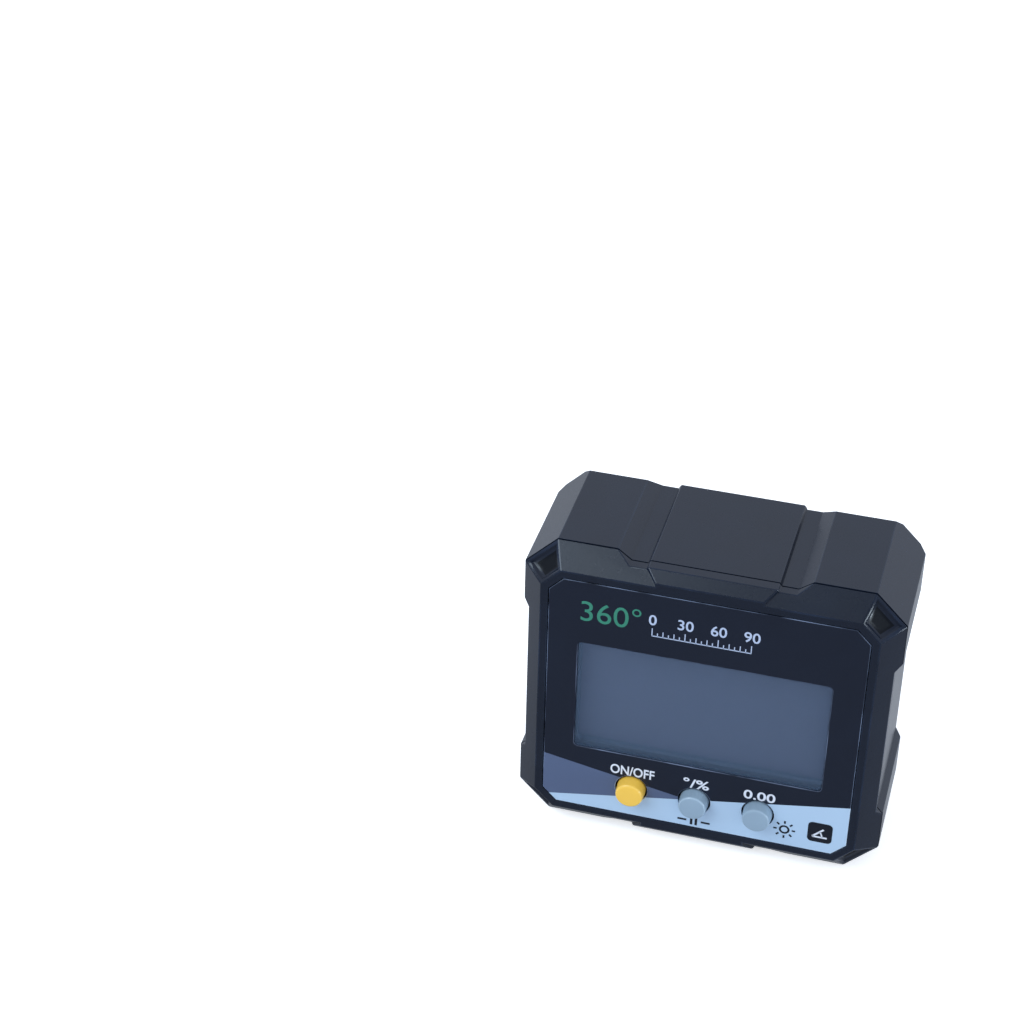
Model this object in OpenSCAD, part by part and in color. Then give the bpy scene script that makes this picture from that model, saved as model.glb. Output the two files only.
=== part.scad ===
// Pocket digital angle gauge with a magnetic base, standing upright on its base pads.
// Millimetres. The origin is the middle of the footprint, +Z is up and the face looks along -Y.
// Depths are measured backwards from the rim of the face, heights from the middle of the body.

/* [Body] */
// Width across the side pads
body_w = 65; // [62:0.5:75]
// Height from the base pads to the top pads
body_h = 59; // [57:0.5:70]
// Depth from the rim of the face to the back
body_d = 28; // [27:0.5:36]
// Leg of the diagonal cut across each corner
corner_cut = 5.6; // [5:0.1:7]
// Width of the 45 degree slope round the front
front_bevel = 3.8; // [3.3:0.1:4.4]
// Straight land between the front slope and the parting line
cover_land = 0.2; // [0.1:0.05:0.6]
// 45 degree slope along the back of the straight sides
rear_bevel = 2.2; // [1.2:0.1:3]
// 45 degree slope along the back of the diagonal corners
rear_corner_bevel = 1.1; // [0.5:0.1:2]
// Width of the shadow gap at the parting line
seam_w = 0.3; // [0.1:0.05:0.5]
// Depth of the shadow gap
seam_d = 0.4; // [0.2:0.05:0.6]
// Wall thickness of the two shells
wall = 2; // [1.6:0.1:2.4]

/* [Pads and recesses] */
// Distance between the two pads along the top and the base
pad_gap = 33; // [29:0.5:36]
// Run of the slope at the inner end of each pad
pad_slope = 2.4; // [1:0.1:3]
// Depth of the grooves beside the centre panel, below the pads
groove_depth = 1.8; // [1.4:0.1:2.4]
// Width of the raised centre panel on the top and the base
centre_w = 21.8; // [18:0.1:23]
// Run of the slope along each side of the centre panel
centre_slope = 0.4; // [0.3:0.1:1]
// How far the centre panel lies below the pads
centre_drop = 1.25; // [0.6:0.05:1.3]
// How far the front tongue of the centre panel stands out of the front slope
tongue_proud = 0.75; // [0.3:0.05:1]
// How much each side of the tongue narrows towards the face
tongue_taper = 1.8; // [0.5:0.1:2.5]
// Length of the recess between the pads on each side
side_gap = 32.4; // [26:0.2:36]
// Run of the slope at each end of the side recess
side_slope = 1.1; // [0.5:0.1:2]
// Depth of the side recess
side_drop = 1.1; // [0.6:0.1:1.6]

/* [Corner pockets] */
// Depth of the pocket in each front corner slope
pocket_depth = 0.9; // [0.5:0.05:1]
// Rim left round the pocket
pocket_rim = 0.45; // [0.3:0.05:0.8]
// How far each wall of the pocket slopes in
pocket_draft = 0.75; // [0.3:0.05:0.9]

/* [Face panel] */
// Flat rim round the printed face panel
rim_w = 1.35; // [0.9:0.05:2]
// Thickness of the face panel
panel_t = 0.6; // [0.4:0.05:0.9]
// Gap between the face panel and its recess
panel_gap = 0.12; // [0.05:0.01:0.25]

/* [Display] */
// Width of the face panel beside the window
screen_side = 5.55; // [5:0.05:9]
// Height of the face panel above the window
screen_top = 12.75; // [9:0.05:15]
// Height of the face panel below the window
screen_low = 13.55; // [13.4:0.05:16]
// Corner radius of the window
screen_r = 0.7; // [0.3:0.1:2]
// Flange thickness of the window lens
lens_t = 1.4; // [1:0.1:1.8]
// How far the lens flange reaches past the window
lens_lap = 1.5; // [1:0.1:1.8]
// Gap round the lens
lens_gap = 0.1; // [0.05:0.01:0.2]
// Thickness of the ledge that carries the lens
ledge_t = 0.9; // [0.7:0.1:1.4]
// Thickness of the liquid crystal glass
lcd_t = 2; // [1.6:0.1:2.6]
// How far the glass reaches past the window
lcd_lap = 1.8; // [1.4:0.1:2]
// Thickness of the light guide behind the glass
guide_t = 2.4; // [2:0.1:3.4]
// Height of each elastomer contact strip
strip_h = 1.5; // [1:0.1:2]
// Gap between the light guide and the contact strips
strip_gap = 0.25; // [0.1:0.05:0.4]

/* [Buttons] */
// Button diameter
button_dia = 5.14; // [4:0.02:6]
// Radial gap between a button and its hole
button_gap = 0.33; // [0.15:0.01:0.4]
// How far the buttons stand out of the face
button_proud = 2.1; // [1:0.05:2.5]
// Distance between neighbouring buttons
button_pitch = 11.3; // [10:0.1:13]
// Sideways place of the middle button
button_shift = 0.1; // [-1:0.05:1]
// Height of the buttons above the lower edge of the face panel
button_rise = 5.95; // [5.4:0.05:6.6]
// Radius of the rounded front edge of a button
button_edge = 0.3; // [0.2:0.05:0.6]
// How much narrower a button is at its front, on each side
button_draft = 0.15; // [0:0.05:0.3]
// Width of the flange that keeps a button in the cover
flange_w = 0.8; // [0.5:0.05:1.2]
// Thickness of the flange
flange_t = 0.9; // [0.6:0.05:1.2]
// Play between the flange and the cover
button_play = 0.05; // [0.02:0.01:0.1]
// Travel of a button
button_travel = 0.6; // [0.3:0.05:0.7]

/* [Switches and board] */
// Width of a switch body
switch_w = 6; // [5:0.1:7]
// Diameter of a switch plunger
plunger_dia = 3; // [2:0.1:3.4]
// Radial gap between a plunger and its switch
plunger_gap = 0.1; // [0.05:0.01:0.2]
// How far a plunger enters its switch at rest
plunger_in = 0.6; // [0.4:0.05:0.8]
// Room left over the switches when a button is pressed home
switch_room = 0.4; // [0.2:0.05:0.6]
// Thickness of the circuit board
board_t = 1.2; // [0.8:0.1:1.6]
// Gap round the circuit board
board_gap = 0.4; // [0.2:0.05:0.8]
// Height of the board screws above the middle of the body
board_screw_z = 11.5; // [9:0.5:12.5]
// Thread diameter of the board screws
board_screw_dia = 1.6; // [1.4:0.1:2]
// Side of the controller chip
chip_w = 9; // [6:0.5:12]
// Side of the tilt sensor
sensor_w = 4; // [2:0.5:5]
// Thickness of the chips
chip_t = 1.2; // [0.8:0.1:1.8]

/* [Cells and contacts] */
// Cell diameter
cell_dia = 10.5; // [9.8:0.1:10.5]
// Cell length over its terminal
cell_len = 44.5; // [40:0.1:44.5]
// Gap between the two cells
cell_gap = 0.8; // [0.4:0.1:2]
// Clearance round the cells
cell_play = 0.25; // [0.15:0.05:0.5]
// Length of a contact spring at work
spring_len = 3.6; // [2.6:0.1:4]
// Diameter of the spring wire
wire_dia = 0.5; // [0.4:0.05:0.6]
// Height of the raised part of a flat contact
bump_h = 0.6; // [0.3:0.1:1]
// Thickness of the contact plates
contact_t = 0.4; // [0.35:0.05:0.6]
// Side of the contact plates
contact_w = 8; // [7.4:0.1:9]
// Wall round the battery bay
bay_wall = 3.2; // [3:0.1:3.6]
// Thickness of the battery bay's floor
floor_t = 1.2; // [0.8:0.1:1.8]

/* [Battery door] */
// Door thickness
door_t = 1.8; // [1.6:0.1:2.2]
// How far the door reaches past the bay on each side
door_lap = 1.9; // [1.8:0.05:2.2]
// Gap round the door
door_gap = 0.25; // [0.15:0.05:0.4]
// Thickness of the door gasket
seal_t = 0.6; // [0.4:0.05:0.9]
// Width of the door gasket's cord
seal_w = 0.7; // [0.5:0.05:0.75]
// Width of each hinge tab
tab_w = 7; // [4:0.5:10]
// Distance between the two hinge tabs
tab_pitch = 30; // [20:0.5:38]
// Thickness of the hinge tabs
tab_t = 0.8; // [0.6:0.05:0.9]
// Diameter of the bead along each hinge tab
bead_dia = 1.4; // [1.2:0.05:1.5]
// Gap round the hinge beads
bead_gap = 0.2; // [0.15:0.01:0.25]
// Width of the latch tongue
latch_w = 10; // [7:0.5:14]
// Length of the latch tongue
latch_l = 2.2; // [1.5:0.1:3]

/* [Fasteners, gasket and magnets] */
// Thread diameter of the case screws
screw_dia = 2.2; // [2:0.1:2.6]
// Head diameter of the case screws
head_dia = 4; // [3.6:0.1:4.4]
// Head height of the case screws
head_h = 1.5; // [1:0.1:1.8]
// How deep the screw heads sit in the back
head_sink = 2.6; // [2:0.1:4]
// Radial gap round the screw threads
thread_gap = 0.05; // [0.03:0.01:0.1]
// Width of the case gasket
gasket_w = 0.8; // [0.6:0.05:0.9]
// Depth of the case gasket's groove
gasket_t = 0.9; // [0.6:0.05:1.2]
// Diameter of the base magnets
magnet_dia = 8; // [6:0.1:8.4]
// Height of the base magnets
magnet_h = 2.8; // [2:0.1:3]
// Distance between the magnets of one pad
magnet_pitch = 11; // [9.5:0.1:12]
// How deep the magnets lie below the base
magnet_sink = 0.1; // [0.05:0.01:0.2]

/* [Hidden] */
$fn = 48;

// Length that a cut runs past the face it opens
over = 1;
// Clearance left wherever two loose pieces pass each other
slack = 0.3;

// Body
half_w = body_w / 2;
half_h = body_h / 2;
half_diag = (half_w + half_h - corner_cut) / sqrt(2);
front_y = button_proud - (body_d + button_proud) / 2;
cover_d = front_bevel + cover_land;
cavity_w = half_w - side_drop - wall;
cavity_h = half_h - groove_depth - wall;
cavity_cut = max(slack, cavity_w + cavity_h - sqrt(2) * (half_diag - wall));
// Each side of the body as its direction and its distance from the middle
straight_sides = [[0, half_w], [90, half_h], [180, half_w], [270, half_h]];
corner_sides = [for (turn = [45, 135, 225, 315]) [turn, half_diag]];

// Front cover, lip and bosses
lip_gap = 0.15;
lip_t = 1.2;
lip_len = 2;
hollow_inset = lip_gap + lip_t;
gasket_gap = 0.1;
boss_in = 2.9;
boss_x = cavity_w - boss_in;
boss_z = cavity_h - boss_in;
cover_boss_r = boss_in - slack;
boss_lap = 0.4;
housing_boss_r = boss_in + boss_lap;
boss_len = 5;
boss_join = cover_d + boss_len;
screw_skin = 2;
pocket_skin = 0.4;
drive_l = 2.4;
drive_w = 0.6;

// Face, lens, glass and board depths
panel_inset = front_bevel + rim_w;
screen_w = body_w - 2 * (panel_inset + screen_side);
screen_h = body_h - 2 * panel_inset - screen_top - screen_low;
screen_rise = (screen_low - screen_top) / 2;
lens_sink = 0.05;
lens_back = panel_t + lens_t;
plate_back = lens_back + ledge_t;
lcd_back = plate_back + lcd_t;
board_front = lcd_back + guide_t;
board_back = board_front + board_t;
lcd_w = screen_w + 2 * lcd_lap;
lcd_h = screen_h + 2 * lcd_lap;
guide_h = lcd_h - 2 * (strip_h + strip_gap);
board_inset = hollow_inset + board_gap;
post_r = 1.6;
post_x = lcd_w / 2 + post_r + slack;
led_w = 1.2;
led_t = 1.2;
led_l = 3;

// Buttons and switches
button_r = button_dia / 2;
button_z = panel_inset - half_h + button_rise;
button_x = [for (i = [-1:1]) button_shift + i * button_pitch];
button_back = plate_back + button_play + flange_t;
switch_front = button_back + button_travel + switch_room;

// Cells, contacts and bay
cell_r = cell_dia / 2;
cell_z = (cell_dia + cell_gap) / 2;
cell_d = body_d - door_t - cell_play - cell_r;
end_play = 0.1;
bay_l = cell_len + spring_len + bump_h + 2 * contact_t + 2 * end_play;
bay_h = 2 * cell_dia + cell_gap + 2 * cell_play;
bay_floor = cell_d - cell_r - cell_play;
nub_r = 1.9;
nub_h = 1;
tail_w = 2;
bump_r = 2.4;

// Door, hinge and latch
door_inner = body_d - door_t;
door_w = bay_l + 2 * door_lap;
door_h = bay_h + 2 * door_lap;
recess_w = door_w + 2 * door_gap;
recess_h = door_h + 2 * door_gap;
seal_in = 0.15;
bead_r = bead_dia / 2;
hinge_d = door_inner + tab_t / 2;
hinge_z = recess_h / 2 + bead_r + 2 * bead_gap + slack;
hinge_wall = 1.4;
hinge_flare = door_t / 2;
latch_t = door_t / 2;
notch_room = 2;
notch_under = 0.6;
notch_w = latch_w + 2 * notch_room;
notch_l = latch_l + notch_room;
notch_d = latch_t + notch_under;
grip_count = 3;
grip_w = 0.8;

// Places a piece in the face frame: middle of the face, X right, Y backwards, Z up.
module face_frame() translate([0, front_y, half_h]) children();

// Extrudes a front view from one depth to another.
module slab(from, to)
    face_frame() translate([0, to, 0]) rotate([90, 0, 0]) linear_extrude(to - from) children();

// A round bar along the depth at a place on the face.
module rod(x, z, from, to, r) slab(from, to) translate([x, z]) circle(r);

// Extrudes a section, drawn as distance from the middle and depth, along one side of the body.
module along_side(turn, length)
    face_frame() rotate([0, -turn, 0]) linear_extrude(length, center = true) children();

// Frame of the front slope on one side of the body: X runs outwards up the slope and Z out of it.
module on_slope(turn, distance, along = 0)
    face_frame() rotate([0, -turn, 0]) translate([distance - front_bevel, 0, along])
        rotate([0, 0, 45]) rotate([90, 0, 0]) children();

// A solid between two rings of four corners, each listed anticlockwise as seen from above.
module between(low, high)
    polyhedron(concat(low, high), [[0, 1, 2, 3], [7, 6, 5, 4], [4, 5, 1, 0],
        [5, 6, 2, 1], [6, 7, 3, 2], [7, 4, 0, 3]]);

module octagon(w, h, cut)
    polygon([[cut - w, -h], [w - cut, -h], [w, cut - h], [w, h - cut],
        [w - cut, h], [cut - w, h], [-w, h - cut], [-w, cut - h]]);

// The body's outline drawn in by the same distance on every side.
module body_octagon(inset)
    octagon(half_w - inset, half_h - inset, corner_cut - inset * (2 - sqrt(2)));

// The cavity's outline, drawn in or out.
module cavity_octagon(inset)
    octagon(cavity_w - inset, cavity_h - inset, max(slack, cavity_cut - inset * (2 - sqrt(2))));

module rounded_rect(w, h, r) {
    square([w - 2 * r, h], center = true);
    square([w, h - 2 * r], center = true);
    for (x = [-1, 1], y = [-1, 1])
        translate([x * (w / 2 - r), y * (h / 2 - r)]) circle(r);
}

// A recess with sloped ends, cut down from the edge on the X axis and grown by a step all round.
module trough(gap, slope, depth, grow) {
    lean = slope / depth;
    side = gap / 2 + grow * sqrt(1 + lean * lean);
    upper = side + lean * over;
    lower = side - lean * (depth + grow);
    polygon([[-upper, over], [upper, over], [lower, -depth - grow], [-lower, -depth - grow]]);
}

// Front view of the body with its pads, grooves and side recesses, drawn in by a step all round.
module outline(inset) difference() {
    body_octagon(inset);
    for (turn = [0, 180])
        rotate(turn) translate([0, half_h]) trough(pad_gap, pad_slope, groove_depth, inset);
    for (turn = [90, 270])
        rotate(turn) translate([0, half_w]) trough(side_gap, side_slope, side_drop, inset);
}

// Front view of the centre panels on the top and the base, drawn in by a step all round.
module centre_section(inset) {
    upper = centre_w / 2 - inset;
    lower = upper + centre_slope;
    for (turn = [0, 180]) rotate(turn)
        polygon([[-lower, cavity_h], [lower, cavity_h], [lower, half_h - groove_depth - inset],
            [upper, half_h - centre_drop - inset], [-upper, half_h - centre_drop - inset],
            [-lower, half_h - groove_depth - inset]]);
}

module front_slopes()
    for (side = concat(straight_sides, corner_sides))
        along_side(side[0], 2 * body_w)
            polygon([[side[1] - front_bevel - over, -over], [side[1] + over, -over],
                [side[1] + over, front_bevel + over]]);

module rear_slopes(sides, bevel)
    for (side = sides)
        along_side(side[0], 2 * body_w)
            polygon([[side[1] + over, body_d - bevel - over], [side[1] + over, body_d + over],
                [side[1] - bevel - over, body_d + over]]);

// Front end of the centre panel: it stands out of the front slope and narrows to the face.
module tongues() {
    top = half_h - centre_drop;
    toe = half_h - front_bevel + tongue_proud;
    rise = tongue_proud / sqrt(2);
    fold = rise + (top - toe) * sqrt(2);
    function half_at(s, n) = centre_w / 2 - tongue_taper * (fold - s) / (fold - rise)
        + centre_slope * (1 - n / rise);
    function ring(n) = [for (p = [[-over, -1], [2 * front_bevel, -1], [2 * front_bevel, 1], [-over, 1]])
        [p[0], p[1] * half_at(p[0], n), n]];
    for (turn = [90, 270]) intersection() {
        along_side(turn, body_w)
            polygon([[cavity_h, 0], [toe, 0], [top, top - toe], [top, cover_d], [cavity_h, cover_d]]);
        slab(0, cover_d) centre_section(0);
        on_slope(turn, half_h) between(ring(-cover_d), ring(2 * rise));
    }
}

// Pocket sunk into each diagonal corner slope: its walls slope in, and it widens outwards.
module corner_pockets() {
    slope_l = front_bevel * sqrt(2);
    spread = front_bevel * (sqrt(2) - 1);
    function half_at(s) = corner_cut / sqrt(2) - spread * (1 - s / slope_l);
    function ring(inset, n) =
        [for (p = [[inset, -1], [slope_l - inset, -1], [slope_l - inset, 1], [inset, 1]])
            [p[0], p[1] * (half_at(p[0]) - inset), n]];
    lift = over * pocket_draft / pocket_depth;
    intersection() {
        slab(-over, cover_d - pocket_skin) body_octagon(-over);
        for (side = corner_sides)
            on_slope(side[0], side[1], (half_h - half_w) / sqrt(2) * sin(2 * side[0]))
                between(ring(pocket_rim + pocket_draft, -pocket_depth), ring(pocket_rim - lift, over));
    }
}

// Shadow gap cut into the edge of the cover at the parting line.
module seam() slab(cover_d - seam_w, cover_d + over) difference() {
    body_octagon(-over);
    outline(seam_d);
    centre_section(seam_d);
}

module at_corners(x, z) for (i = [-1, 1], k = [-1, 1]) translate([i * x, k * z]) children();

module screen(grow) translate([0, screen_rise]) rounded_rect(screen_w + 2 * grow,
    screen_h + 2 * grow, screen_r + max(0, grow));

module front_cover() color("#20232b") difference() {
    union() {
        difference() {
            union() {
                difference() {
                    slab(0, cover_d) outline(0);
                    front_slopes();
                }
                tongues();
            }
            slab(plate_back, cover_d + over) cavity_octagon(hollow_inset);
        }
        slab(plate_back, cover_d + lip_len) difference() {
            cavity_octagon(lip_gap);
            cavity_octagon(hollow_inset);
        }
        slab(plate_back, boss_join) at_corners(boss_x, boss_z) circle(cover_boss_r);
        slab(plate_back, board_front) at_corners(post_x, board_screw_z) circle(post_r);
    }
    corner_pockets();
    seam();
    slab(-over, panel_t) body_octagon(panel_inset);
    slab(0, lens_back) screen(lens_lap + lens_gap);
    slab(0, plate_back + over) screen(lens_gap);
    for (x = button_x) rod(x, button_z, 0, plate_back + over, button_r + button_gap);
    slab(panel_t + screw_skin, boss_join + over) at_corners(boss_x, boss_z)
        circle(screw_dia / 2 + thread_gap);
    slab(plate_back, board_front + over) at_corners(post_x, board_screw_z)
        circle(board_screw_dia / 2 + thread_gap);
}

module face_panel() color("#161b29") slab(0, panel_t) difference() {
    body_octagon(panel_inset + panel_gap);
    screen(lens_gap);
    for (x = button_x) translate([x, button_z]) circle(button_r + button_gap);
}

module display_lens() color("#8fa0bd80") {
    slab(lens_sink, panel_t) screen(0);
    slab(panel_t, lens_back) screen(lens_lap);
}

module lcd_glass() color("#55627f") slab(plate_back, lcd_back)
    translate([0, screen_rise]) square([lcd_w, lcd_h], center = true);

module light_guide() color("#dfe6ee") slab(lcd_back, board_front)
    translate([0, screen_rise]) square([lcd_w, guide_h], center = true);

module contact_strip(side) color("#3a3f44") slab(lcd_back, board_front)
    translate([0, screen_rise + side * (lcd_h - strip_h) / 2])
        square([screen_w, strip_h], center = true);

module upper_contact_strip() contact_strip(1);
module lower_contact_strip() contact_strip(-1);

module circuit_board() color("#1e5a38") slab(board_front, board_back) difference() {
    cavity_octagon(board_inset);
    at_corners(boss_x, boss_z) circle(cover_boss_r + board_gap);
    at_corners(post_x, board_screw_z) circle(board_screw_dia / 2 + slack);
}

module board_screws() color("#b9bcc2") at_corners_3d(post_x, board_screw_z) {
    rod(0, 0, plate_back + slack, board_back, board_screw_dia / 2);
    rod(0, 0, board_back, board_back + board_screw_dia / 2, board_screw_dia);
}

module at_corners_3d(x, z) for (i = [-1, 1], k = [-1, 1]) translate([i * x, 0, k * z]) children();

module controller_chip() color("#17181a") slab(board_back, board_back + chip_t)
    translate([0, chip_w]) square(chip_w, center = true);

module tilt_sensor() color("#26282c") slab(board_back, board_back + chip_t)
    translate([0, -chip_w]) square(sensor_w, center = true);

module backlight_led() color("#f4f2e4") face_frame()
    translate([lcd_w / 2 + slack, board_front - led_t, screen_rise - led_l / 2])
        cube([led_w, led_t, led_l]);

module switch_body(i) color("#2b2d31") difference() {
    slab(switch_front, board_front) translate([button_x[i], button_z])
        square(switch_w, center = true);
    rod(button_x[i], button_z, switch_front - over,
        switch_front + plunger_in + button_travel + plunger_gap, plunger_dia / 2 + plunger_gap);
}

module power_switch() switch_body(0);
module unit_switch() switch_body(1);
module zero_switch() switch_body(2);

// Button cap with a rounded front edge and a keeper flange.
module button(i) face_frame() translate([button_x[i], 0, button_z]) rotate([-90, 0, 0])
    rotate_extrude() polygon(concat([[0, -button_proud]],
        [for (a = [90:-15:0]) [button_r - button_draft - button_edge + button_edge * cos(a),
            button_edge - button_proud - button_edge * sin(a)]],
        [[button_r, 0], [button_r, button_back - flange_t],
        [button_r + button_gap + flange_w, button_back - flange_t],
        [button_r + button_gap + flange_w, button_back], [0, button_back]]));

module power_button() color("#f4b72e") button(0);
module unit_button() color("#8f9aa6") button(1);
module zero_button() color("#8f9aa6") button(2);

module plunger(i) color("#c9c4b4")
    rod(button_x[i], button_z, button_back, switch_front + plunger_in, plunger_dia / 2);

module power_plunger() plunger(0);
module unit_plunger() plunger(1);
module zero_plunger() plunger(2);

// Centre panel of the top and base, running straight through to the back.
module centre_panels() slab(cover_d, body_d) centre_section(0);

// Solid round the battery bay, with thicker places behind the hinge tabs and the latch.
module bay_block() {
    slab(bay_floor - floor_t, body_d - wall)
        square([bay_l + 2 * bay_wall, bay_h + 2 * bay_wall], center = true);
    slab(hinge_d - bead_r - bead_gap - hinge_wall, body_d - wall)
        translate([-tab_pitch / 2 - tab_w, 0])
            square([tab_pitch + 2 * tab_w, hinge_z + bead_r + bead_gap + hinge_wall]);
    slab(body_d - notch_d - hinge_wall, body_d - wall) translate([-notch_w / 2 - hinge_wall, 0])
        mirror([0, 1]) square([notch_w + 2 * hinge_wall, recess_h / 2 + notch_l + hinge_wall]);
}

// Open slot and bead channel for each hinge tab.
module hinge_slots() for (side = [-1, 1]) face_frame() translate([side * tab_pitch / 2, 0, 0]) {
    translate([-tab_w / 2 - slack, hinge_d, hinge_z]) rotate([0, 90, 0])
        cylinder(r = bead_r + bead_gap, h = tab_w + 2 * slack);
    translate([-tab_w / 2 - slack, hinge_d - tab_t / 2 - slack, door_h / 2])
        cube([tab_w + 2 * slack, body_d, hinge_z - door_h / 2]);
}

module bay_cuts() {
    slab(bay_floor, body_d + over) square([bay_l, bay_h], center = true);
    slab(door_inner - seal_t, body_d + over) square([recess_w, recess_h], center = true);
    slab(body_d - notch_d, body_d + over) translate([-notch_w / 2, -recess_h / 2 - notch_l])
        square([notch_w, notch_l + over]);
    for (side = [-1, 1]) slab(bay_floor - floor_t - over, bay_floor + over)
        translate([(bay_l - contact_t) / 2, side * cell_z])
            square([contact_t + slack, tail_w + 2 * slack], center = true);
    along_side(90, recess_w) polygon([[recess_h / 2 - over, body_d - hinge_flare - over],
        [recess_h / 2 + hinge_flare + over, body_d + over], [recess_h / 2 - over, body_d + over]]);
}

module magnet_places() for (side = [-1, 1], k = [-1, 1])
    translate([side * (pad_gap / 2 + half_w - corner_cut) / 2,
        front_y + (cover_d + body_d - rear_bevel + k * magnet_pitch) / 2, 0]) children();

module rear_housing() color("#1c1f26") difference() {
    union() {
        difference() {
            union() {
                difference() {
                    slab(cover_d, body_d) outline(0);
                    rear_slopes(straight_sides, rear_bevel);
                    rear_slopes(corner_sides, rear_corner_bevel);
                }
                centre_panels();
            }
            slab(cover_d - over, body_d - wall) cavity_octagon(0);
        }
        bay_block();
        slab(boss_join, body_d - wall) at_corners(boss_x, boss_z) circle(housing_boss_r);
    }
    bay_cuts();
    hinge_slots();
    slab(boss_join - over, body_d + over) at_corners(boss_x, boss_z)
        circle(screw_dia / 2 + slack / 2);
    slab(body_d - head_sink, body_d + over) at_corners(boss_x, boss_z)
        circle(head_dia / 2 + slack / 2);
    slab(cover_d - over, cover_d + gasket_t) difference() {
        cavity_octagon(-wall / 2 - gasket_w / 2 - gasket_gap);
        cavity_octagon(-wall / 2 + gasket_w / 2 + gasket_gap);
    }
    magnet_places() translate([0, 0, -over])
        cylinder(r = magnet_dia / 2 + thread_gap, h = magnet_sink + magnet_h + over);
}

module housing_gasket() color("#3b3e42") slab(cover_d, cover_d + gasket_t) difference() {
    cavity_octagon(-wall / 2 - gasket_w / 2);
    cavity_octagon(-wall / 2 + gasket_w / 2);
}

// Case screws with a cross recess in each head.
module case_screws() color("#a9adb3") at_corners_3d(boss_x, boss_z) {
    seat = body_d - head_sink;
    rod(0, 0, panel_t + screw_skin + slack, seat, screw_dia / 2);
    difference() {
        rod(0, 0, seat, seat + head_h, head_dia / 2);
        slab(seat + head_h / 2, seat + head_h + over) for (turn = [0, 90])
            rotate(turn) square([drive_l, drive_w], center = true);
    }
}

module base_magnets() color("#b4b8bd") magnet_places() translate([0, 0, magnet_sink])
    cylinder(r = magnet_dia / 2, h = magnet_h);

// A cell along X with its terminal to the right.
module cell() face_frame()
    translate([contact_t + spring_len + end_play - bay_l / 2, cell_d, cell_z]) rotate([0, 90, 0]) {
        cylinder(r = cell_r, h = cell_len - nub_h);
        cylinder(r = nub_r, h = cell_len);
    }

// Turns a piece of the upper half of the bay to its place in the lower half.
module turned() face_frame() rotate([0, 180, 0]) translate([0, -front_y, -half_h]) children();

module upper_cell() color("#c8ccd0") cell();
module lower_cell() color("#c8ccd0") turned() cell();

// Contact plate at one end of the upper cell: end is -1 at its spring, 1 at its terminal.
module contact_plate(end) face_frame()
    translate([end * (bay_l - contact_t) / 2, cell_d, cell_z])
        cube([contact_t, contact_w, contact_w], center = true);

module contact_bump() face_frame() translate([bay_l / 2 - contact_t - bump_h, cell_d, cell_z])
    rotate([0, 90, 0]) cylinder(r = bump_r, h = bump_h + contact_t / 2);

// Strip from a contact plate through the bay floor to the board.
module contact_tail(end) face_frame()
    translate([end * (bay_l - contact_t) / 2 - contact_t / 2, board_back, cell_z - tail_w / 2])
        cube([contact_t, cell_d - board_back, tail_w]);

// Conical coil spring, swept ring by ring along its helix.
module coil_spring() {
    turns = 3.5;
    steps = 14;
    sides = 8;
    foot_r = 3.3;
    tip_r = 2.2;
    wire_r = wire_dia / 2;
    rings = turns * steps;
    function ring_point(i, j) = let (part = i / rings, a = 360 * i / steps, b = 360 * j / sides,
        r = foot_r + (tip_r - foot_r) * part + wire_r * cos(b))
        [r * cos(a), r * sin(a), (spring_len - wire_r) * part + wire_r * sin(b)];
    face_frame() translate([contact_t - bay_l / 2, cell_d, cell_z]) rotate([0, 90, 0])
        polyhedron(points = [for (i = [0:rings], j = [0:sides - 1]) ring_point(i, j)],
            faces = concat([[for (j = [sides - 1:-1:0]) j]],
                [for (i = [0:rings - 1], j = [0:sides - 1]) let (k = (j + 1) % sides)
                    each [[i * sides + j, (i + 1) * sides + k, (i + 1) * sides + j],
                        [i * sides + j, i * sides + k, (i + 1) * sides + k]]],
                [[for (j = [0:sides - 1]) rings * sides + j]]));
}

module positive_contact() color("#c3b98a") {
    contact_plate(1);
    contact_bump();
    contact_tail(1);
}

module negative_contact() color("#c3b98a") turned() {
    contact_plate(-1);
    coil_spring();
    contact_tail(-1);
}

module bridge_contact() color("#c3b98a") {
    contact_plate(-1);
    coil_spring();
    turned() {
        contact_plate(1);
        contact_bump();
    }
    face_frame() translate([(contact_t - bay_l) / 2, cell_d, 0])
        cube([contact_t, contact_w / 2, 2 * cell_z], center = true);
}

// Door with hinge tabs along its top edge and a latch tongue below.
module battery_door() color("#1c1f26") difference() {
    union() {
        slab(door_inner, body_d) square([door_w, door_h], center = true);
        for (side = [-1, 1]) face_frame() translate([side * tab_pitch / 2 - tab_w / 2, 0, 0]) {
            translate([0, door_inner, door_h / 2 - over]) cube([tab_w, tab_t, hinge_z - door_h / 2 + over]);
            translate([0, hinge_d, hinge_z]) rotate([0, 90, 0]) cylinder(r = bead_r, h = tab_w);
        }
        slab(body_d - latch_t, body_d) translate([-latch_w / 2, -door_h / 2 - latch_l])
            square([latch_w, latch_l + over]);
    }
    for (i = [0:grip_count - 1]) slab(body_d - latch_t / 3, body_d + over)
        translate([0, (2 * i + 1) * grip_w - door_h / 2]) square([latch_w, grip_w], center = true);
}

module door_gasket() color("#3b3e42") slab(door_inner - seal_t, door_inner) difference() {
    square([bay_l + 2 * (seal_in + seal_w), bay_h + 2 * (seal_in + seal_w)], center = true);
    square([bay_l + 2 * seal_in, bay_h + 2 * seal_in], center = true);
}

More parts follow.
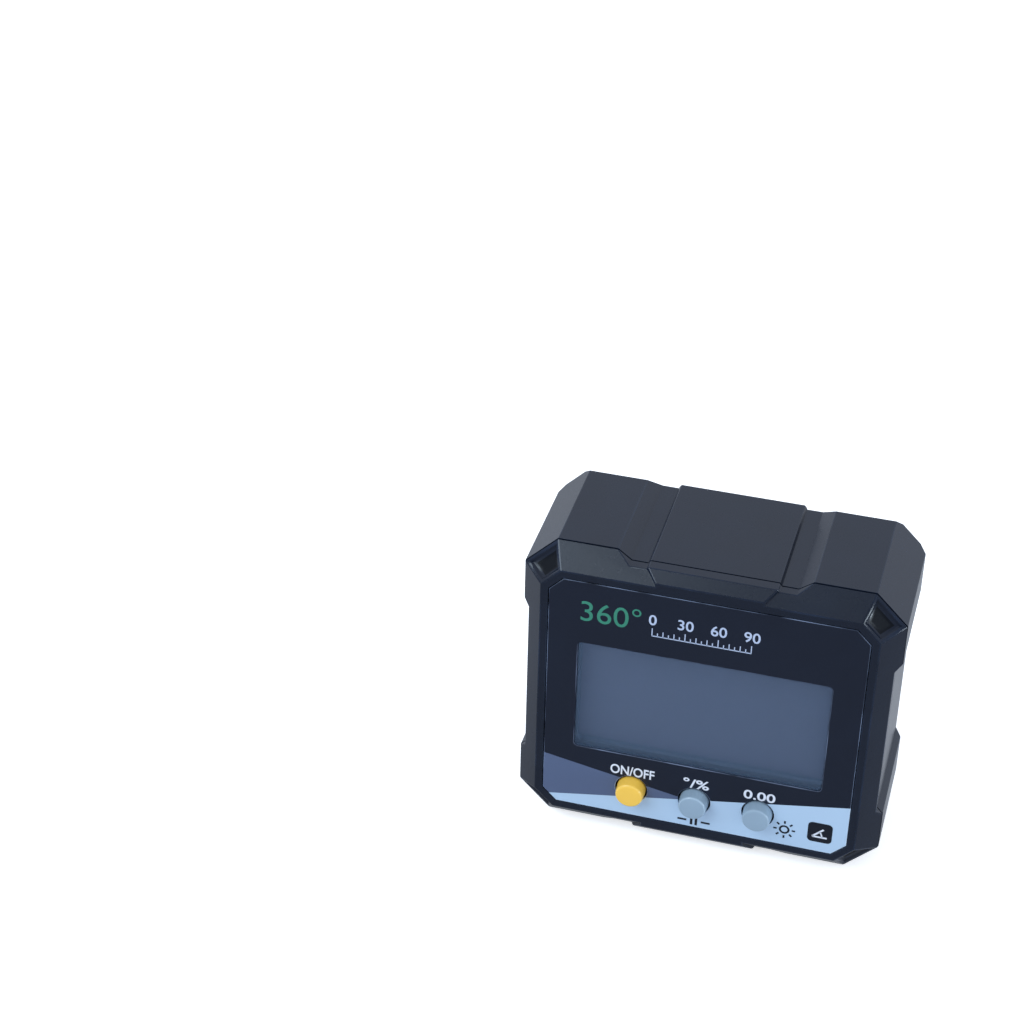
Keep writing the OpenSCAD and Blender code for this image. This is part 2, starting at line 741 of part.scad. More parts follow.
front_cover();
face_panel();
display_lens();
lcd_glass();
light_guide();
upper_contact_strip();
lower_contact_strip();
circuit_board();
controller_chip();
tilt_sensor();
backlight_led();
power_switch();
unit_switch();
zero_switch();
power_button();
unit_button();
zero_button();
power_plunger();
unit_plunger();
zero_plunger();
board_screws();
rear_housing();
housing_gasket();
case_screws();
base_magnets();
upper_cell();
lower_cell();
positive_contact();
negative_contact();
bridge_contact();
battery_door();
door_gasket();
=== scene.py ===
# %% [markdown]
# # A pocket digital angle gauge
# The real tool is two moulded shells screwed together round a display, a circuit board and two cells.
# Its base pads hold magnets, so it sticks to a saw blade while its face shows the angle.
# The CAD model already has every solid in its place, so this script loads it as a fixed frame.
# What is left for Blender is what the eye reads: soft edges, finishes, print, glass and light.

# %% Load the frame
import math

import bmesh
import bpy
from mathutils import Matrix, Vector


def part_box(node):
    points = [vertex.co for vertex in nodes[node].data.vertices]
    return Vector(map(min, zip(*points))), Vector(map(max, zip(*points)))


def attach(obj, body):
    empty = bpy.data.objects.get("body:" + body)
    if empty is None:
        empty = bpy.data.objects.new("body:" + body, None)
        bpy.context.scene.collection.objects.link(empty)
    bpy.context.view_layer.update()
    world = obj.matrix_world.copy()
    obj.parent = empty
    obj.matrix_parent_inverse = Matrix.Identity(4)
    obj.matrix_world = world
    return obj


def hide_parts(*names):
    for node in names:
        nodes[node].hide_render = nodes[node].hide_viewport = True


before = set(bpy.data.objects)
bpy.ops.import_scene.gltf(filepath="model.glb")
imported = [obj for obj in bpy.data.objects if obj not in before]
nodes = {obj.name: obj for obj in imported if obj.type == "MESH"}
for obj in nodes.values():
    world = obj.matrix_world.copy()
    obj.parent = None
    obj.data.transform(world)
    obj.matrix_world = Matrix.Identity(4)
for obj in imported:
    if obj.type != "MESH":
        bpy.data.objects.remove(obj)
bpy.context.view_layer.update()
scene = bpy.context.scene
MM = 0.001

# %% [markdown]
# ## The camera
# The camera stands where the photographer's did: a long lens looking down at the gauge from the front
# right. Its place and turn were found by matching the outlines of the face and the window, so they are
# written here as plain numbers. The gauge sits right of the middle of the square picture.

# %% Camera
CAMERA_PLACE = Vector((51.2, -330.12, 286.13)) * MM
CAMERA_TURN = [math.radians(angle) for angle in (56.084, -0.999, 15.701)]
LENS, SENSOR = 84.1, 36
NEAREST, FARTHEST = 0.01, 20
camera = bpy.data.objects.new("camera", bpy.data.cameras.new("camera"))
camera.data.lens, camera.data.sensor_width = LENS, SENSOR
camera.data.clip_start, camera.data.clip_end = NEAREST, FARTHEST
camera.location, camera.rotation_euler = CAMERA_PLACE, CAMERA_TURN
scene.collection.objects.link(camera)
scene.camera = camera
print("camera", round(CAMERA_PLACE.length / MM), "mm from the origin")

# %% [markdown]
# ## Colours and nodes
# Every colour is an sRGB hex value, as a paint chart gives it, and one function makes it linear for the
# shader. A second function adds a node, sets its properties, and sets or links its inputs.

# %% Colour and node helpers
def linear(code):
    """Linear RGBA of an sRGB hex value."""
    parts = [int(code[i:i + 2], 16) / 255 for i in (1, 3, 5)]
    return [c / 12.92 if c <= 0.04045 else ((c + 0.055) / 1.055) ** 2.4 for c in parts] + [1]


def add_node(tree, kind, inputs=(), **settings):
    """Adds a node: settings are its properties, inputs are sockets to link or values to set."""
    made = tree.nodes.new(kind)
    for name, value in settings.items():
        setattr(made, name, value)
    for key, value in dict(inputs).items():
        if isinstance(value, bpy.types.NodeSocket):
            tree.links.new(value, made.inputs[key])
        else:
            made.inputs[key].default_value = value
    return made


def bare_material(name):
    """A new material with an empty node tree and its output."""
    material = bpy.data.materials.new(name)
    material.use_nodes = True
    material.node_tree.nodes.clear()
    return material, material.node_tree


# %% [markdown]
# ## Finishes
# Most pieces here are one solid colour with a grain: moulded plastic, film, ink, rubber or plated metal.
# A real surface is never one flat value, so each finish drifts slowly between two close colours over some
# millimetres, and a fine grit moves its roughness and tilts its surface. The grit of a spark-eroded mould
# is near 0.1 mm. That is under a pixel here, so it is drawn about four times as coarse to show.
# Rounded edges carry an attribute named "edge", where they turn smoother and paler in patches: on the
# shells that is wear from handling, on the panel a pale edge line, and round the rim of each key cap it is
# a painted highlight.

# %% The finish function
# Where in the slow drift a pale edge patch starts and is full, how much smoother it is, and the grain's
# tilt.
PATCH_START, PATCH_FULL = 0.38, 0.62
POLISH, GRAIN_TILT = 0.2, 0.5


def finish(name, low, high, rough, grit, relief, drift=9, stretch=(1, 1, 1), wear_and_highlight=None, **sockets):
    """A grained surface: low and high are its colours, rough its roughness span, grit and drift the
    sizes in millimetres of its grain and of its slow change, relief the grain's depth in millimetres."""
    material, tree = bare_material(name)
    place = add_node(tree, "ShaderNodeTexCoord").outputs["Object"]
    place = add_node(tree, "ShaderNodeMapping", {"Vector": place, "Scale": stretch}).outputs["Vector"]
    slow = add_node(tree, "ShaderNodeTexNoise", {"Vector": place, "Scale": 1 / (drift * MM), "Detail": 3})
    grain = add_node(tree, "ShaderNodeTexNoise", {"Vector": place, "Scale": 1 / (grit * MM), "Detail": 2})
    colour = add_node(tree, "ShaderNodeMixRGB", {
        "Fac": slow.outputs["Fac"], "Color1": linear(low), "Color2": linear(high)}).outputs["Color"]
    dull = add_node(tree, "ShaderNodeMapRange", {
        "Value": grain.outputs["Fac"], "To Min": rough[0], "To Max": rough[1]}).outputs["Result"]
    # Edges marked in the edge attribute turn paler and smoother in patches: wear on the shells, a painted
    # highlight round the rim on the key caps.
    if wear_and_highlight:
        edge = add_node(tree, "ShaderNodeAttribute", attribute_name="edge").outputs["Fac"]
        patch = add_node(tree, "ShaderNodeMapRange", {
            "Value": slow.outputs["Fac"], "From Min": PATCH_START,
            "From Max": PATCH_FULL}).outputs["Result"]
        share = add_node(tree, "ShaderNodeMath", {0: edge, 1: patch}, operation="MULTIPLY")
        colour = add_node(tree, "ShaderNodeMixRGB", {
            "Fac": share.outputs["Value"], "Color1": colour, "Color2": linear(wear_and_highlight)}).outputs["Color"]
        dull = add_node(tree, "ShaderNodeMath", {
            0: share.outputs["Value"], 1: -POLISH, 2: dull}, operation="MULTIPLY_ADD").outputs["Value"]
    bump = add_node(tree, "ShaderNodeBump", {
        "Height": grain.outputs["Fac"], "Strength": GRAIN_TILT, "Distance": relief * MM})
    shader = add_node(tree, "ShaderNodeBsdfPrincipled", {
        "Base Color": colour, "Roughness": dull, "Normal": bump.outputs["Normal"], **sockets})
    add_node(tree, "ShaderNodeOutputMaterial", {"Surface": shader.outputs["BSDF"]})
    return material


# %% Plastics
# Moulded ABS with a fine spark-eroded grain: navy black under a soft, cool bloom of reflected room.
SPARK_GRAIN = {"grit": 0.4, "relief": 0.010}
abs_black = finish("moulded_abs_black", "#0c1423", "#111b2c", (0.24, 0.36), wear_and_highlight="#1d2637", **SPARK_GRAIN)
# The same in the corner pockets: a little rougher, where the mould is left coarse, and darker, with a
# weaker reflection, which is painted shade in the deep hollows.
abs_pocket_painted_shade = finish("moulded_abs_pocket", "#080c13", "#0b1019", (0.28, 0.4), **SPARK_GRAIN,
                    **{"Specular IOR Level": 0.22})
# The same ABS, a shade deeper, for the loose door that was moulded in another tool.
abs_door = finish("moulded_abs_door", "#0b1320", "#0f1828", (0.26, 0.38), wear_and_highlight="#1d2637", **SPARK_GRAIN)
# Satin polycarbonate film, printed on its back: the colours look even, under a faint velvet grain.
VELVET = {"rough": (0.32, 0.40), "grit": 0.35, "relief": 0.003}
film_dark = finish("printed_film_dark", "#0b1426", "#0f192c", wear_and_highlight="#76829a", **VELVET)
film_slate = finish("printed_film_slate", "#4f5c78", "#53607e", wear_and_highlight="#8fa0bd", **VELVET)
film_pale = finish("printed_film_pale", "#abc2d9", "#b1c8dd", wear_and_highlight="#d3e2f2", **VELVET)
# Satin ABS key caps: smooth, and a shade paler round the rim, which is a painted highlight.
SATIN = {"rough": (0.36, 0.46), "grit": 0.3, "relief": 0.006}
key_yellow = finish("satin_key_yellow", "#f3be42", "#f8c650", wear_and_highlight="#f9cb5e", **SATIN)
key_grey = finish("satin_key_grey", "#8a9fb0", "#93a7b7", wear_and_highlight="#a3b7c6", **SATIN)
# Glass-filled nylon of the switch parts and the epoxy of the chips: dull and dense.
nylon_black = finish("moulded_nylon_black", "#1a1b1e", "#222327", (0.5, 0.65), 0.3, 0.01)
nylon_ivory = finish("moulded_nylon_ivory", "#c6c0ae", "#d0cab8", (0.45, 0.6), 0.3, 0.01)
# Rubber of the gaskets and the contact strips: near black, with no shine.
seal_rubber = finish("moulded_rubber", "#2a2c30", "#34373c", (0.7, 0.85), 0.3, 0.015)
# Solder mask over laminate: a glossy green with the weave's faint ripple.
board_green = finish("solder_mask_green", "#174a2e", "#1d5737", (0.25, 0.35), 0.6, 0.01)
# Cast acrylic light guide, frosted on its back, and the clear resin of the lamp.
guide_white = finish("frosted_acrylic", "#d5dee8", "#e2e9f1", (0.3, 0.4), 0.4, 0.004)
resin_clear = finish("lamp_resin", "#efead6", "#f6f3e4", (0.15, 0.25), 0.4, 0.003)
print("plastics made")

# %% Metals, inks and cell sleeves
# Zinc-plated screw steel: bluish and a little streaked.
zinc_steel = finish("zinc_plated_steel", "#a4a8ad", "#b6babf", (0.28, 0.42), 0.4, 0.008, Metallic=1)
# Nickel over magnet: a bright, slightly warm mirror, scuffed by the steel it clings to.
nickel_bright = finish("nickel_plated_magnet", "#b9b6ae", "#c9c6bf", (0.16, 0.32), 0.9, 0.004, Metallic=1)
# Nickel-plated spring strip and wire, drawn, so that the streaks run along the strip.
nickel_spring = finish("nickel_plated_spring", "#b4ad98", "#c4bda8", (0.22, 0.36), 0.5, 0.004,
                       stretch=(1, 1, 0.2), Metallic=1)
# Screen-printed ink: an even, thick film, a little duller than the panel.
INK_COAT = {"rough": (0.45, 0.55), "grit": 0.25, "relief": 0.004}
ink_white = finish("screen_ink_white", "#d5d8e1", "#dbdee6", **INK_COAT)
ink_silver = finish("screen_ink_silver", "#adb8d0", "#b3bed5", **INK_COAT)
ink_green = finish("screen_ink_green", "#2b7c64", "#31846b", **INK_COAT)
ink_dark = finish("screen_ink_dark", "#050d1c", "#081224", **INK_COAT)
# Shrink sleeve of the cells: a glossy printed film in two colours.
SLEEVE_GLOSS = {"rough": (0.25, 0.35), "grit": 0.5, "relief": 0.004}
sleeve_grey = finish("cell_sleeve_grey", "#8d949c", "#979ea6", **SLEEVE_GLOSS)
sleeve_dark = finish("cell_sleeve_dark", "#2b3a4e", "#304056", **SLEEVE_GLOSS)
print("metals and inks made")

# %% [markdown]
# ## Display finishes
# The window is cast acrylic with a smoke tint, which hides the frame behind it. Real acrylic bends light,
# but a flat pane in front of a display only has to veil what lies behind and add a soft reflection, so it
# is a smooth skin, more than half see-through.
# The display is switched off, so its polariser is an even blue-grey, a touch paler than the glass round it.

# %% Window and display
RIPPLE, GLOSS, ACRYLIC_IOR = 14, (0.16, 0.24), 1.49


def smoked_pane(name, tint, veil):
    """A tinted pane: a thin veil over what lies behind, with moulding ripples in its gloss."""
    material, tree = bare_material(name)
    place = add_node(tree, "ShaderNodeTexCoord").outputs["Object"]
    ripple = add_node(tree, "ShaderNodeTexNoise", {
        "Vector": place, "Scale": 1 / (RIPPLE * MM), "Detail": 1})
    dull = add_node(tree, "ShaderNodeMapRange", {
        "Value": ripple.outputs["Fac"], "To Min": GLOSS[0], "To Max": GLOSS[1]})
    shader = add_node(tree, "ShaderNodeBsdfPrincipled", {
        "Base Color": linear(tint), "Roughness": dull.outputs["Result"], "Alpha": veil,
        "IOR": ACRYLIC_IOR})
    add_node(tree, "ShaderNodeOutputMaterial", {"Surface": shader.outputs["BSDF"]})
    return material


window_acrylic = smoked_pane("cast_acrylic_smoke", "#46576e", veil=0.4)
EVEN = {"grit": 0.3, "relief": 0.0003, "drift": 16}
polariser_slate = finish("polariser_slate", "#9ca4c0", "#a0a8c4", (0.5, 0.6), **EVEN)
cell_glass = finish("display_glass_edge", "#8fa3b8", "#94a8bd", (0.4, 0.5), **EVEN)
# The ledge round the display lies in shade behind the window and is coloured as pale as the display glass:
# painted light, so that the screen seems to reach the window's edge.
ledge_painted_light = finish("ledge_grey_painted_light", "#8fa3b8", "#94a8bd", (0.6, 0.7), **EVEN)
print("display finishes made")

# %% [markdown]
# ## From CAD solid to moulded piece
# A CAD edge is a perfect knife edge, and a moulded one never is. Its small radius is what catches the
# light. Each visible shell is a copy of its solid: the loose triangles are merged, flat faces are joined
# back into one, and the outside edges are bevelled. The copy then stands for the solid.
# A weighted normal modifier keeps the big faces flat right up to the bevels.

# %% Piece helpers
FACE_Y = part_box("front_cover")[0].y
PART_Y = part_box("rear_housing")[0].y
BACK_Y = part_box("rear_housing")[1].y
HALF_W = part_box("rear_housing")[1].x
HALF_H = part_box("rear_housing")[1].z / 2
CORNER_CUT = 5.6 * MM
MERGE, TINY = 0.002 * MM, 0.0001 * MM
FLAT = math.radians(0.5)
EDGE_STEPS = 4


def inside(point):
    """How far a point lies inside the octagon of the body, seen from the front."""
    x, z = abs(point.x), abs(point.z - HALF_H)
    return min(HALF_W - x, HALF_H - z, (HALF_W + HALF_H - CORNER_CUT - x - z) / math.sqrt(2))


def add_piece(shape, name, body, finishes, stands_for=(), smooth=40):
    """Turns a bmesh into an object that rides on a body and hides the CAD nodes it stands for."""
    mesh = bpy.data.meshes.new(name)
    shape.to_mesh(mesh)
    shape.free()
    for material in finishes:
        mesh.materials.append(material)
    for face in mesh.polygons:
        face.use_smooth = True
    mesh.set_sharp_from_angle(angle=math.radians(smooth))
    piece = bpy.data.objects.new(name, mesh)
    scene.collection.objects.link(piece)
    piece.modifiers.new("flat faces", "WEIGHTED_NORMAL").keep_sharp = True
    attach(piece, body)
    if stands_for:
        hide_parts(*stands_for)
    print(name, len(mesh.polygons), "faces")


def merged_copy(node):
    """A bmesh of a CAD node with its triangles merged and its flat faces whole."""
    shape = bmesh.new()
    shape.from_mesh(nodes[node].data)
    bmesh.ops.remove_doubles(shape, verts=shape.verts, dist=MERGE)
    bmesh.ops.dissolve_limit(shape, angle_limit=FLAT, verts=shape.verts, edges=shape.edges)
    return shape


def edge_middle(edge):
    """The point halfway along an edge."""
    return (edge.verts[0].co + edge.verts[1].co) / 2


def any_edge(point, edge):
    """True for every edge, for a piece that shows all round."""
    return True


def soften(shape, width, pick, least=20, hollow=False):
    """Bevels the outward or hollow edges that pick accepts, and marks the outward ones in the edge
    attribute.
    Edges that turn by fewer degrees than least are left."""
    wear_and_highlight = shape.faces.layers.float.get("edge") or shape.faces.layers.float.new("edge")
    chosen = [e for e in shape.edges if len(e.link_faces) == 2 and e.is_convex != hollow
              and e.calc_face_angle() > math.radians(least) and pick(edge_middle(e), e)]
    made = bmesh.ops.bevel(shape, geom=chosen, offset=width * MM, offset_type="OFFSET", affect="EDGES",
                           segments=EDGE_STEPS, profile=0.5, material=-1, clamp_overlap=True)
    for face in made["faces"]:
        face[wear_and_highlight] = 0 if hollow else 1
    return len(chosen)


# %% [markdown]
# ## The front cover
# The cover is the frame round the face: a flat rim, 45 degree slopes, a tongue at the top and the base,
# and a pocket in each corner. Only the edges that show are rounded, because its lip and posts are inside.
# Hollow corners stay sharp, so they read as fine dark creases. Only the foot of each pocket gets a fillet,
# as the mould's cutter leaves it: a curved strip that carries a streak of light. At the parting line the
# cover is cut back a little, and its edge there gets a smaller radius: the thin shadow line between shells.

# %% Which edges of the cover show
COVER_D = PART_Y - FACE_Y
SEAM_W, NEAR = 0.3 * MM, 0.05 * MM
# How deep behind the face the rim and the slopes end, and how far in from the outline their edges show.
RIM_D, SLOPE_D = 0.3 * MM, 2.5 * MM
RIM_IN, SLOPE_IN, SIDE_IN = 5.3 * MM, 4.9 * MM, 3.2 * MM


def cover_shows(point, edge):
    """True for the cover's outer edges in front of the parting line."""
    depth, deep = point.y - FACE_Y, inside(point)
    if depth < RIM_D:
        return deep < RIM_IN
    return deep < (SLOPE_IN if depth < SLOPE_D else SIDE_IN) and depth < COVER_D - SEAM_W - NEAR


# %% Which edges of the pockets show
SLANT, SLANT_NEAR = 0.5, 0.01
POCKET_FROM = 4.5 * MM
# Least and most turn in degrees of the edges at the foot and the mouth of a pocket.
FOOT_LEAST, MOUTH_LEAST, MOUTH_MOST = 40, 47, 60


def slanted(face):
    """True for a face that lies parallel to a corner slope, whose normal has equal parts in X and Z."""
    return max(abs(abs(face.normal.x) - SLANT), abs(abs(face.normal.z) - SLANT)) < SLANT_NEAR


def pocket_floor(face):
    """True for the floor of a corner pocket: a slanted face that lies below the corner slope."""
    middle = face.calc_center_median()
    return slanted(face) and inside(middle) + middle.y - FACE_Y > POCKET_FROM


def pocket_foot(point, edge):
    """True where a wall of a corner pocket meets its floor."""
    return any(pocket_floor(face) for face in edge.link_faces)


def pocket_shows(point, edge):
    """True for the mouth of a corner pocket, where the corner slope turns into a wall of the pocket."""
    shallow = edge.calc_face_angle() < math.radians(MOUTH_MOST)
    return shallow and any(slanted(face) for face in edge.link_faces)


# %% Which edges of the parting line show
SEAM_IN, OUTWARD = 2.3 * MM, 0.3


def faces_out(edge):
    """True where one of an edge's faces looks away from the middle of the body."""
    middle = edge_middle(edge)
    away = Vector((middle.x / HALF_W, 0, (middle.z - HALF_H) / HALF_H))
    return any(face.normal.dot(away) > OUTWARD for face in edge.link_faces)


def seam_shows(point, edge):
    """True for the cover's edge along the shadow line."""
    return abs(point.y - PART_Y + SEAM_W) < NEAR and inside(point) < SEAM_IN and faces_out(edge)


# %% Front cover
FILLET, MOUTH_R, EDGE_R, SEAM_R = 0.6, 0.32, 0.2, 0.06
SHELL_SMOOTH = 25
cover = merged_copy("front_cover")
# The pocket floors take the darker pocket finish: painted shade in the hollows.
for face in cover.faces:
    face.material_index = 2 if pocket_floor(face) else 0
print("pocket fillets:", soften(cover, FILLET, pocket_foot, least=FOOT_LEAST, hollow=True))
print("pocket mouths rounded:", soften(cover, MOUTH_R, pocket_shows, least=MOUTH_LEAST))
print("cover edges rounded:", soften(cover, EDGE_R, cover_shows), soften(cover, SEAM_R, seam_shows))
lens_low, lens_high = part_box("display_lens")
glass_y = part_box("lcd_glass")[0].y
# Faces of the ledge behind the window take the pale ledge colour: painted light in that recess.
for face in cover.faces:
    middle = face.calc_center_median()
    behind_lens = lens_low.x < middle.x < lens_high.x and lens_low.z < middle.z < lens_high.z
    if behind_lens and lens_high.y - NEAR < middle.y < glass_y - NEAR:
        face.material_index = 1
add_piece(cover, "front_cover_shell", "case", [abs_black, ledge_painted_light, abs_pocket_painted_shade],
          ["front_cover"], smooth=SHELL_SMOOTH)

# %% [markdown]
# ## The rear housing and its door
# The housing is one deep moulding. Its pads are the datum faces that rest on the work, so their edges keep
# a small, even radius. On the back, the door's recess, the latch notch and the screw holes are rounded too.

# %% Rear housing
RECESS_IN, RECESS_HALF, OUTLINE_IN = 1.95 * MM, 17 * MM, 0.1 * MM
PARTING_R = 0.08


def housing_shows(point, edge):
    """True for the housing's outer edges behind the parting line, and for those on its back."""
    if point.y > BACK_Y - NEAR:
        return True
    return inside(point) < RECESS_IN and point.y > PART_Y + SEAM_W


def parting_shows(point, edge):
    """True for the housing's outline at the parting line, also where a groove or recess cuts into it."""
    in_recess = min(abs(point.x), abs(point.z - HALF_H)) < RECESS_HALF
    reach = RECESS_IN if in_recess else OUTLINE_IN
    return abs(point.y - PART_Y) < NEAR and inside(point) < reach and faces_out(edge)


housing = merged_copy("rear_housing")
print("housing edges rounded:", soften(housing, EDGE_R, housing_shows),
      soften(housing, PARTING_R, parting_shows))
add_piece(housing, "rear_housing_shell", "case", [abs_black], ["rear_housing"],
          smooth=SHELL_SMOOTH)

# %% Battery door
DOOR_R, CRISP = 0.14, 30
door = merged_copy("battery_door")
print("door edges rounded:", soften(door, DOOR_R, any_edge, least=CRISP))
add_piece(door, "battery_door_shell", "battery_door", [abs_door], ["battery_door"])

# %% [markdown]
# ## The face panel
# The panel is a thin plate with three printed fields: a dark one, a slate wedge at the lower left and a
# pale band that rises to the right. The fields are real faces, cut by two slanted planes, so that their
# borders stay sharp at any distance. Its outer edge is rounded and catches a thin line of light.

# %% Places on the face
PANEL_GAP = 0.12 * MM
FACE_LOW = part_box("face_panel")[0].z - PANEL_GAP


def on_face(x, height):
    """A point on the face: millimetres right of the middle and above the lower edge of its recess."""
    return Vector((x * MM, FACE_Y, FACE_LOW + height * MM))


SLATE_LINE = on_face(-26.8, 10.5), on_face(-2.75, 6.3)
PALE_LINE = on_face(-27.06, 1.36), on_face(27.23, 11.09)


def above(line, point):
    """Height of a point over a slanted line on the face."""
    along = line[1] - line[0]
    return point.z - line[0].z - along.z / along.x * (point.x - line[0].x)


# %% Face panel
PANEL_R = 0.1
panel = merged_copy("face_panel")
soften(panel, PANEL_R, lambda point, edge: abs(point.y - FACE_Y) < NEAR)
for line in (SLATE_LINE, PALE_LINE):
    along = line[1] - line[0]
    bmesh.ops.bisect_plane(panel, geom=panel.verts[:] + panel.edges[:] + panel.faces[:], dist=TINY,
                           plane_co=line[0], plane_no=Vector((-along.z, 0, along.x)))
for face in panel.faces:
    middle = face.calc_center_median()
    if above(PALE_LINE, middle) < 0:
        face.material_index = 2
    elif above(SLATE_LINE, middle) < 0:
        face.material_index = 1
add_piece(panel, "face_panel_plate", "case", [film_dark, film_slate, film_pale],
          ["face_panel"])

# %% [markdown]
# ## Print on the panel
# The print is a layer of ink with a real thickness, so each mark is a thin slab that stands a hair out of
# the panel. Letters come from Blender's own font and are turned to a mesh. Bars, rings and signs are made
# from a cube or a spun strip. The marks are plain ones: a range, a scale, key names and signs.

# %% Ink helpers
INK = 0.02
INK_TURN = Matrix.Rotation(math.radians(90), 4, "X")
ink = {colour: bmesh.new() for colour in ("white", "silver", "green", "dark", "pale")}


def bar(colour, x, height, length, width, turn=0):
    """A straight stroke, middle at x and height, turned anticlockwise in degrees."""
    place = (Matrix.Translation(on_face(x, height)) @ Matrix.Rotation(math.radians(-turn), 4, "Y")
             @ Matrix.Diagonal((length * MM, 2 * INK * MM, width * MM, 1)))
    return bmesh.ops.create_cube(ink[colour], size=1, matrix=place)["verts"]


def arc(colour, x, height, radius, width, start, sweep, steps=24):
    """A curved stroke round a point, spun from a short edge of the stroke's section."""
    shape = ink[colour]
    section = [(radius + side * width / 2, out * INK) for side, out in ((-1, -1), (1, -1), (1, 1), (-1, 1))]
    centre = on_face(x, height)
    turn = Matrix.Rotation(math.radians(-start), 4, "Y")
    ring = [shape.verts.new(centre + turn @ Vector((r * MM, y * MM, 0))) for r, y in section]
    first = shape.faces.new(ring)
    geom = [first] + first.edges[:] + ring
    whole = sweep == 360
    bmesh.ops.spin(shape, geom=geom, cent=centre, axis=(0, 1, 0), angle=math.radians(-sweep),
                   steps=steps, use_merge=whole, use_duplicate=False)
    if whole:
        bmesh.ops.delete(shape, geom=[first], context="FACES_ONLY")


def words(colour, text, x, height, tall, wide=None, bold=0.0):
    """A line of type: tall is its height and wide its width in millimetres, its middle at x."""
    curve = bpy.data.curves.new("type", "FONT")
    curve.body, curve.size, curve.offset = text, 1, bold
    curve.resolution_u, curve.extrude = 6, 0.5
    maker = bpy.data.objects.new("type", curve)
    scene.collection.objects.link(maker)
    mesh = bpy.data.meshes.new_from_object(maker.evaluated_get(bpy.context.evaluated_depsgraph_get()))
    bpy.data.objects.remove(maker)
    xs, ys = [v.co.x for v in mesh.vertices], [v.co.y for v in mesh.vertices]
    up = tall / (max(ys) - min(ys))
    across = wide / (max(xs) - min(xs)) if wide else up
    mesh.transform(Matrix.Translation(on_face(x, height)) @ INK_TURN
                   @ Matrix.Diagonal((across * MM, up * MM, 2 * INK * MM, 1))
                   @ Matrix.Translation((-(max(xs) + min(xs)) / 2, -min(ys), 0)))
    ink[colour].from_mesh(mesh)
    bpy.data.meshes.remove(mesh)


# %% Range mark and scale
RANGE_X, RANGE_H, RANGE_TALL, RANGE_WIDE = -16.4, 40.7, 4.3, 10.4
words("green", "360°", RANGE_X, RANGE_H, RANGE_TALL, RANGE_WIDE)
SCALE_LEFT, SCALE_LOW, SCALE_STEP, SCALE_MARKS = -9.2, 40.1, 0.94, 19
LONG, MEDIUM, SHORT = 1.55, 1.1, 0.7
BASE_W, BASE_OVER, MARK_W = 0.18, 0.16, 0.17
NUMBER_UP, NUMBER_TALL, NUMBER_BOLD = 2.2, 2.1, 0.012
NUMBER_EVERY, DEGREES = 6, 5
scale_length = SCALE_STEP * (SCALE_MARKS - 1)
bar("silver", SCALE_LEFT + scale_length / 2, SCALE_LOW, scale_length + BASE_OVER, BASE_W)
for mark in range(SCALE_MARKS):
    mark_x = SCALE_LEFT + mark * SCALE_STEP
    numbered = mark % NUMBER_EVERY == 0
    tall = LONG if numbered else MEDIUM if mark % 2 == 0 else SHORT
    bar("silver", mark_x, SCALE_LOW + tall / 2, MARK_W, tall)
    if numbered:
        words("silver", str(mark * DEGREES), mark_x, SCALE_LOW + NUMBER_UP, NUMBER_TALL, bold=NUMBER_BOLD)
print("range and scale printed")

# %% Key names
KEYS = [sum(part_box(node), Vector()) / 2 for node in ("power_button", "unit_button", "zero_button")]
KEY_X = [middle.x / MM for middle in KEYS]
KEY_BOLD = 0.018
# Each name with its shift from the key's middle, its height over the recess, and how tall and wide it is.
KEY_NAMES = [("ON/OFF", 0.05, 8.9, 2.05, 7.9), ("°/%", 0.15, 8.9, 2.1, 4.6),
             ("0.00", 0.05, 8.95, 1.95, 5.6)]
for key_x, (name, shift, height, tall, wide) in zip(KEY_X, KEY_NAMES):
    words("white", name, key_x + shift, height, tall, wide, bold=KEY_BOLD)
print("key names printed:", len(KEY_NAMES))

# %% Key signs
# A pause sign between two strokes, under the middle key: it holds the reading.
HOLD_X, HOLD_H = KEY_X[1] + 0.2, 1.5
PAUSE_OUT, PAUSE_W, PAUSE_TALL = 0.42, 0.44, 1.8
DASH_OUT, DASH_L, DASH_W = 2.1, 1.6, 0.4
for side in (-1, 1):
    bar("dark", HOLD_X + side * PAUSE_OUT, HOLD_H, PAUSE_W, PAUSE_TALL)
    bar("dark", HOLD_X + side * DASH_OUT, HOLD_H, DASH_L, DASH_W)
# A sun beside the last key: it turns the light on.
SUN_X, SUN_H, SUN_R, SUN_W = 16.3, 3.6, 0.76, 0.36
RAYS, RAY_OUT, RAY_L, RAY_W = 8, 1.62, 0.6, 0.34
arc("dark", SUN_X, SUN_H, SUN_R, SUN_W, 0, 360, 32)
for ray in range(RAYS):
    turn = ray * 360 / RAYS
    across, up = RAY_OUT * math.cos(math.radians(turn)), RAY_OUT * math.sin(math.radians(turn))
    bar("dark", SUN_X + across, SUN_H + up, RAY_L, RAY_W, turn)
print("signs printed under and beside the keys")

# %% Angle sign
# A plain angle sign on a dark tile, at the lower right: two strokes and the arc between them.
TILE_X, TILE_H, TILE_W, TILE_R = 22.5, 4.4, 4.3, 0.8
tile = bar("dark", TILE_X, TILE_H, TILE_W, TILE_W)
upright = [e for e in ink["dark"].edges if all(v in tile for v in e.verts)
           and abs((e.verts[0].co - e.verts[1].co).y) > INK * MM]
bmesh.ops.bevel(ink["dark"], geom=upright, offset=TILE_R * MM, offset_type="OFFSET", affect="EDGES",
                segments=5, profile=0.5, material=-1)
CORNER_X, CORNER_H = TILE_X - 1.3, TILE_H - 1.0
ANGLE, STROKE_W, ARC_R, ARC_W = 43.5, 0.34, 1.7, 0.26
LEVEL_ARM, RAISED_ARM, RAISED_X, RAISED_H = 2.6, 2.62, 0.95, 0.9
bar("pale", CORNER_X + LEVEL_ARM / 2, CORNER_H, LEVEL_ARM, STROKE_W)
